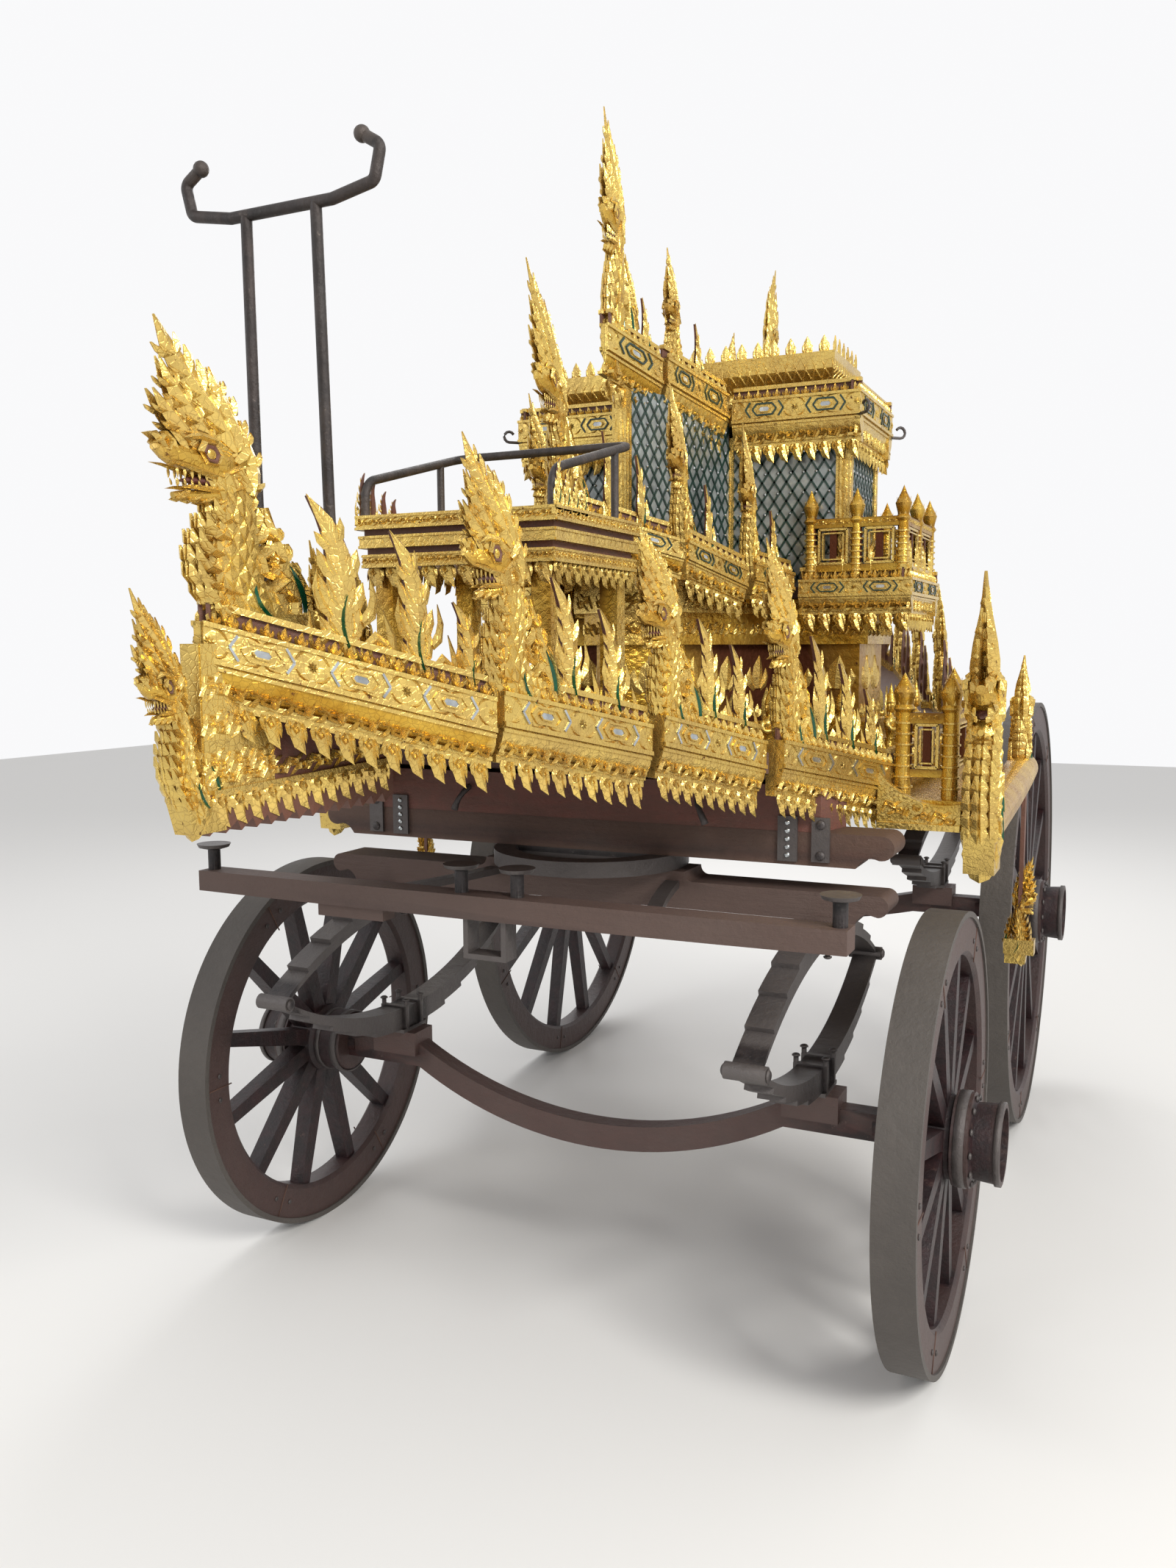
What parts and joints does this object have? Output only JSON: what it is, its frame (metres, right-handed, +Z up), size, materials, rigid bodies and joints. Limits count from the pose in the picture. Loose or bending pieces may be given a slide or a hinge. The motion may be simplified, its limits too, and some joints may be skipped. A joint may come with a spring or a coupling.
{
  "type": "ceremonial carriage",
  "caption": "Gilded boat-shaped ceremonial carriage with a tiered cabin, naga prow boards and wooden spoked wheels, its front pair on a turntable.",
  "frame": {"origin": "on the floor, under the middle of the wheelbase and of the width", "axes": "+X to the carriage's own left, -Y forwards, +Z up"},
  "size_m": [1.946, 4.4334, 2.81],
  "materials": {
    "gilt": "aged gold leaf over red lacquer, worn",
    "red_lacquer": "dull oxide red paint on wood",
    "wheel_red": "worn dark red paint on wood",
    "old_wood": "weathered bare wood",
    "dark_wood": "dark boards",
    "black_iron": "dusty old iron",
    "red_iron": "red oxide paint worn to iron",
    "tyre_iron": "worn grey iron",
    "grey_iron": "grey brown painted iron",
    "lattice": "green glass strips over silver mirror"
  },
  "bodies": {
    "body": {"rear_axle": "red_iron", "rear_springs": "black_iron", "turntable_upper": "black_iron", "cross_beams": "red_lacquer", "beam_straps": "black_iron", "side_sills": "dark_wood", "deck_front": "dark_wood", "deck_middle": "dark_wood", "deck_rear": "dark_wood", "lower_skirts": "gilt", "keel_boards": "red_lacquer", "wings": "gilt", "side_nagas": "gilt", "wing_pendants": "gilt", "prow_nagas": "gilt", "hull_nagas": "gilt", "lower_balustrades": "gilt", "cabin_base": "gilt", "figures": "gilt", "upper_deck": "dark_wood", "upper_skirts": "gilt", "upper_nagas": "gilt", "upper_balustrades": "gilt", "cabin_panels": "lattice", "cabin_posts": "gilt", "roof_skirts": "gilt", "roof_deck": "gilt", "roof_nagas": "gilt", "bench": "gilt", "bench_rail": "grey_iron", "pole_frame": "grey_iron"},
    "front_truck": {"front_axle": "red_iron", "front_springs": "black_iron", "front_bolster": "old_wood", "splinter_bar": "old_wood", "bar_irons": "black_iron", "turntable_lower": "black_iron"},
    "front_right_wheel": {"wheel_front_right": "wheel_red", "tyre_front_right": "tyre_iron"},
    "front_left_wheel": {"wheel_front_left": "wheel_red", "tyre_front_left": "tyre_iron"},
    "rear_right_wheel": {"wheel_rear_right": "wheel_red", "tyre_rear_right": "tyre_iron"},
    "rear_left_wheel": {"wheel_rear_left": "wheel_red", "tyre_rear_left": "tyre_iron"}
  },
  "joints": [
    {"name": "steer", "type": "hinge", "parent": "body", "child": "front_truck", "pos_m": [0, -0.78, 1.05], "axis": [0, 0, 1], "range_deg": [-30, 30]},
    {"name": "spin_front_right", "type": "hinge", "parent": "front_truck", "child": "front_right_wheel", "pos_m": [-0.835, -0.78, 0.491], "axis": [1, 0, 0], "continuous": true},
    {"name": "spin_front_left", "type": "hinge", "parent": "front_truck", "child": "front_left_wheel", "pos_m": [0.835, -0.78, 0.491], "axis": [1, 0, 0], "continuous": true},
    {"name": "spin_rear_right", "type": "hinge", "parent": "body", "child": "rear_right_wheel", "pos_m": [-0.835, 0.78, 0.685], "axis": [1, 0, 0], "continuous": true},
    {"name": "spin_rear_left", "type": "hinge", "parent": "body", "child": "rear_left_wheel", "pos_m": [0.835, 0.78, 0.685], "axis": [1, 0, 0], "continuous": true}
  ]
}
